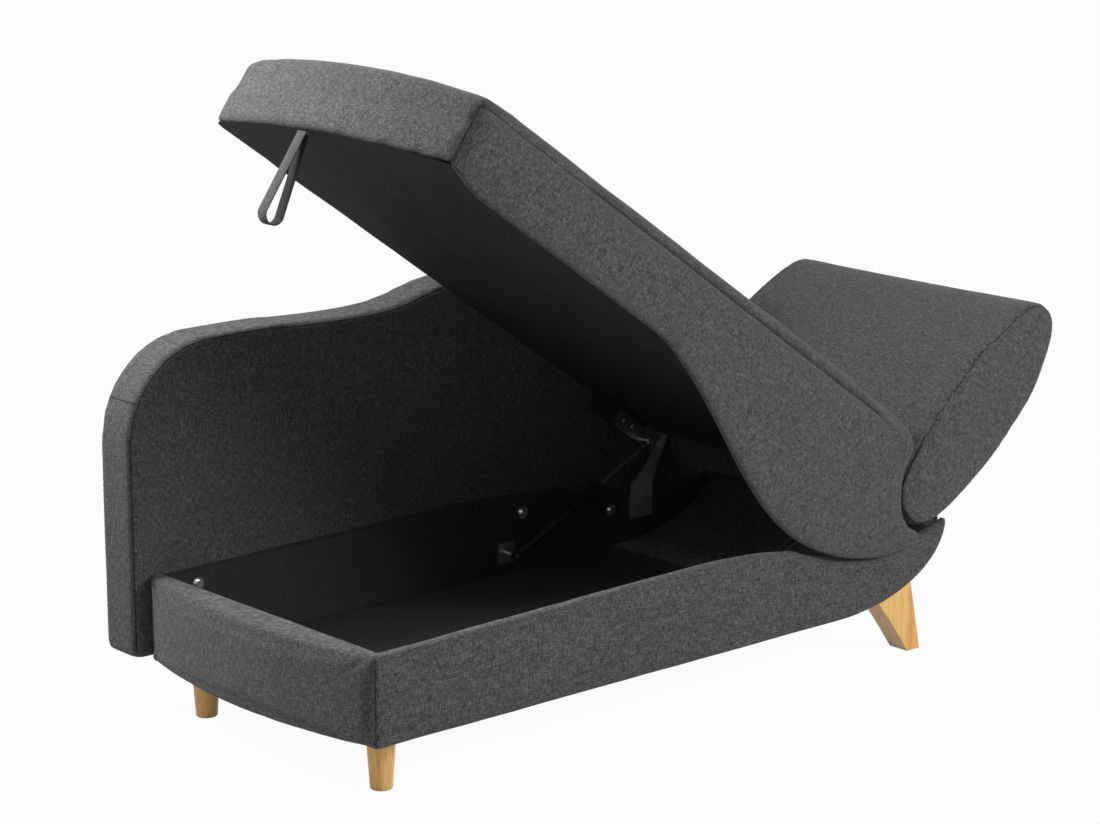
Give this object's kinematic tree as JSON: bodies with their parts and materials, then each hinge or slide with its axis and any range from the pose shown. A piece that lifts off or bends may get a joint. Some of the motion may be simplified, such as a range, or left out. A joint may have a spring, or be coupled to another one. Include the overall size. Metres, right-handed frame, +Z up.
{
  "type": "chaise sofa bed",
  "caption": "Upholstered chaise sofa bed with a low back panel, a lift-up seat lid on struts over a storage base, a hinged teardrop bolster and oak legs.",
  "frame": {"origin": "floor level under the middle of the object as stored, with its lid raised", "axes": "+X from the foot end to the bolster, +Y to the back panel, +Z up"},
  "size_m": [1.8538, 0.828, 1.284],
  "materials": {
    "upholstery": "dark charcoal heathered weave",
    "webbing": "flat grey webbing",
    "black_lining": "flat black non-woven",
    "oak": "clear satin lacquer",
    "frame_wood": "raw",
    "bright_steel": "zinc plated",
    "fitting_steel": "zinc plated",
    "black_steel": "satin black"
  },
  "bodies": {
    "base": {"front_board": "frame_wood", "rear_board": "frame_wood", "foot_board": "frame_wood", "head_board": "frame_wood", "front_cover": "upholstery", "foot_cover": "upholstery", "head_cover": "upholstery", "storage_floor": "frame_wood", "lining_front": "black_lining", "lining_rear": "black_lining", "lining_foot": "black_lining", "foot_leg_front": "oak", "foot_leg_rear": "oak", "leg_plate_front": "fitting_steel", "leg_plate_rear": "fitting_steel", "head_leg_front": "oak", "head_leg_rear": "oak", "back_pad_front": "upholstery", "back_core": "frame_wood", "back_pad_rear": "upholstery", "back_bolt_1": "bright_steel", "back_bolt_2": "bright_steel", "back_bolt_3": "bright_steel", "hinge_bracket_front": "fitting_steel", "hinge_bracket_rear": "fitting_steel", "strut_bracket_front": "fitting_steel", "strut_bracket_rear": "fitting_steel"},
    "lid": {"seat_deck": "frame_wood", "lid_dust_cover": "black_lining", "seat_rail_front": "frame_wood", "seat_rail_rear": "frame_wood", "seat_rail_foot": "frame_wood", "seat_rail_head": "frame_wood", "seat_brace_foot": "frame_wood", "seat_brace_head": "frame_wood", "seat_cushion": "upholstery", "seat_side_panel": "upholstery", "lift_arm_front": "fitting_steel", "lift_arm_rear": "fitting_steel", "hinge_block_front": "frame_wood", "hinge_block_rear": "frame_wood", "bolster_arm_front": "fitting_steel", "bolster_arm_rear": "fitting_steel"},
    "bolster": {"bolster_leaf_front": "fitting_steel", "bolster_leaf_rear": "fitting_steel", "bolster_core": "frame_wood", "bolster_cushion": "upholstery"},
    "front_strut_tube": {"strut_tube_front": "black_steel"},
    "front_strut_rod": {"strut_rod_front": "bright_steel"},
    "rear_strut_tube": {"strut_tube_rear": "black_steel"},
    "rear_strut_rod": {"strut_rod_rear": "bright_steel"},
    "strap": {"pull_strap": "webbing"}
  },
  "joints": [
    {"name": "lid_lift", "type": "hinge", "parent": "base", "child": "lid", "pos_m": [0.46906, 0, 0.405], "axis": [0, 1, 0], "range_deg": [-37.2, 0]},
    {"name": "bolster_recline", "type": "hinge", "parent": "lid", "child": "bolster", "pos_m": [0.62864, 0, 0.3087], "axis": [0, 1, 0], "range_deg": [0, 70]},
    {"name": "front_strut_swing", "type": "hinge", "parent": "base", "child": "front_strut_tube", "pos_m": [0.00106, -0.336, 0.166], "axis": [0, 1, 0], "range_deg": [-0.2, 7.66]},
    {"name": "front_strut_slide", "type": "slide", "parent": "front_strut_tube", "child": "front_strut_rod", "axis": [0.9001, 0, 0.4356], "range_m": [-0.0004, 0.0317]},
    {"name": "rear_strut_swing", "type": "hinge", "parent": "base", "child": "rear_strut_tube", "pos_m": [0.00106, 0.246, 0.166], "axis": [0, 1, 0], "range_deg": [-0.2, 7.66]},
    {"name": "rear_strut_slide", "type": "slide", "parent": "rear_strut_tube", "child": "rear_strut_rod", "axis": [0.9001, 0, 0.4356], "range_m": [-0.0004, 0.0317]},
    {"name": "strap_swing", "type": "hinge", "parent": "lid", "child": "strap", "pos_m": [-0.73981, -0.031, 1.16079], "axis": [0, 1, 0], "range_deg": [-0.1, 8.5]}
  ],
  "couplings": [
    {"joint": "front_strut_swing", "follows": "lid_lift", "ratio": -0.2006},
    {"joint": "front_strut_slide", "follows": "lid_lift", "m_per_rad": -0.04823},
    {"joint": "rear_strut_swing", "follows": "lid_lift", "ratio": -0.2006},
    {"joint": "rear_strut_slide", "follows": "lid_lift", "m_per_rad": -0.04823},
    {"joint": "strap_swing", "follows": "lid_lift", "ratio": -0.2258}
  ]
}
